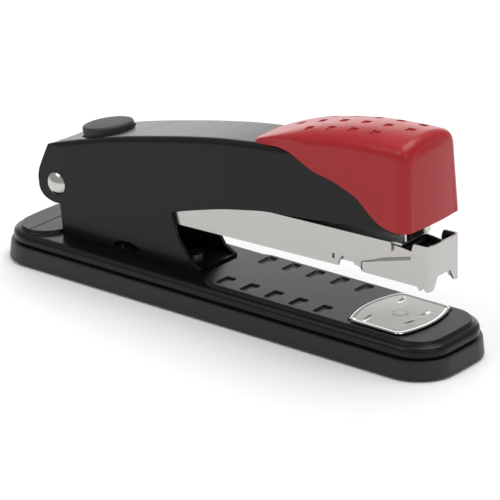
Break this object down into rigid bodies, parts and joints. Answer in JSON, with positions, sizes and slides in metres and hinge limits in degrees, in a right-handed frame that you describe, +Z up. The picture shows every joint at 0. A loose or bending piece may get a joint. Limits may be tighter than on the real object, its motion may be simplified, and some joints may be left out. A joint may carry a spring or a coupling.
{
  "type": "stapler",
  "caption": "Desk stapler with a hinged handle, a sprung magazine whose staple tray has popped forward at the nose, and a turning anvil plate.",
  "frame": {"origin": "centre of the underside of the base", "axes": "+X towards the nose, +Y to the far side, +Z up"},
  "size_m": [0.173, 0.0386, 0.0716],
  "materials": {
    "base_rubber": "matt",
    "base_plastic": "satin",
    "black_enamel": "gloss",
    "chrome": "satin bright",
    "steel": "bright",
    "spring_steel": "bright",
    "inner_plastic": "matt",
    "red_plastic": "gloss",
    "button_rubber": "matt grain"
  },
  "bodies": {
    "base": {"base_sole": "base_rubber", "base_shell": "base_plastic", "base_plate": "black_enamel", "bracket": "black_enamel", "bracket_rivets": "steel", "pivot_rivet": "chrome", "pivot_washers": "steel", "lift_spring": "spring_steel"},
    "anvil": {"anvil_plate": "chrome", "anvil_stud": "steel", "anvil_clip": "steel", "anvil_washer": "steel"},
    "magazine": {"magazine_housing": "chrome", "tray_latch": "steel", "rear_block": "inner_plastic", "guide_rod": "steel", "spring_seat": "steel", "pusher_spring": "spring_steel", "eject_spring": "spring_steel", "handle_spring": "spring_steel"},
    "tray": {"tray": "chrome", "staple_rail": "steel"},
    "pusher": {"pusher": "inner_plastic"},
    "handle": {"handle_shell": "black_enamel", "front_cap": "red_plastic", "driver_blade": "steel", "driver_block": "inner_plastic", "driver_rivets": "steel"},
    "button": {"release_button": "button_rubber", "button_spring": "spring_steel"}
  },
  "joints": [
    {"name": "magazine_hinge", "type": "hinge", "parent": "base", "child": "magazine", "pos_m": [-0.0656, 0, 0.0278], "axis": [0, 1, 0], "range_deg": [0, 5], "stiffness_Nm_per_rad": 1.2, "springref_deg": -34.38, "deforming": ["lift_spring"]},
    {"name": "handle_hinge", "type": "hinge", "parent": "magazine", "child": "handle", "pos_m": [-0.0656, 0, 0.0278], "axis": [0, 1, 0], "range_deg": [0, 1.4], "stiffness_Nm_per_rad": 1.2, "springref_deg": -28.65, "deforming": ["handle_spring"]},
    {"name": "tray_slide", "type": "slide", "parent": "magazine", "child": "tray", "axis": [0.9997, 0, 0.0244], "range_m": [-0.0072, 0.09], "deforming": ["eject_spring"]},
    {"name": "pusher_slide", "type": "slide", "parent": "magazine", "child": "pusher", "axis": [0.9997, 0, 0.0244], "range_m": [-0.09, 0], "stiffness_N_per_m": 25, "springref_m": 0.04, "deforming": ["pusher_spring"]},
    {"name": "button_press", "type": "slide", "parent": "handle", "child": "button", "axis": [0.2504, 0, -0.9681], "range_m": [0, 0.0025], "stiffness_N_per_m": 900, "springref_m": -0.002, "deforming": ["button_spring"]},
    {"name": "anvil_turn", "type": "hinge", "parent": "base", "child": "anvil", "pos_m": [0.0621, 0, 0.0115], "axis": [0, 0, 1], "continuous": true}
  ]
}
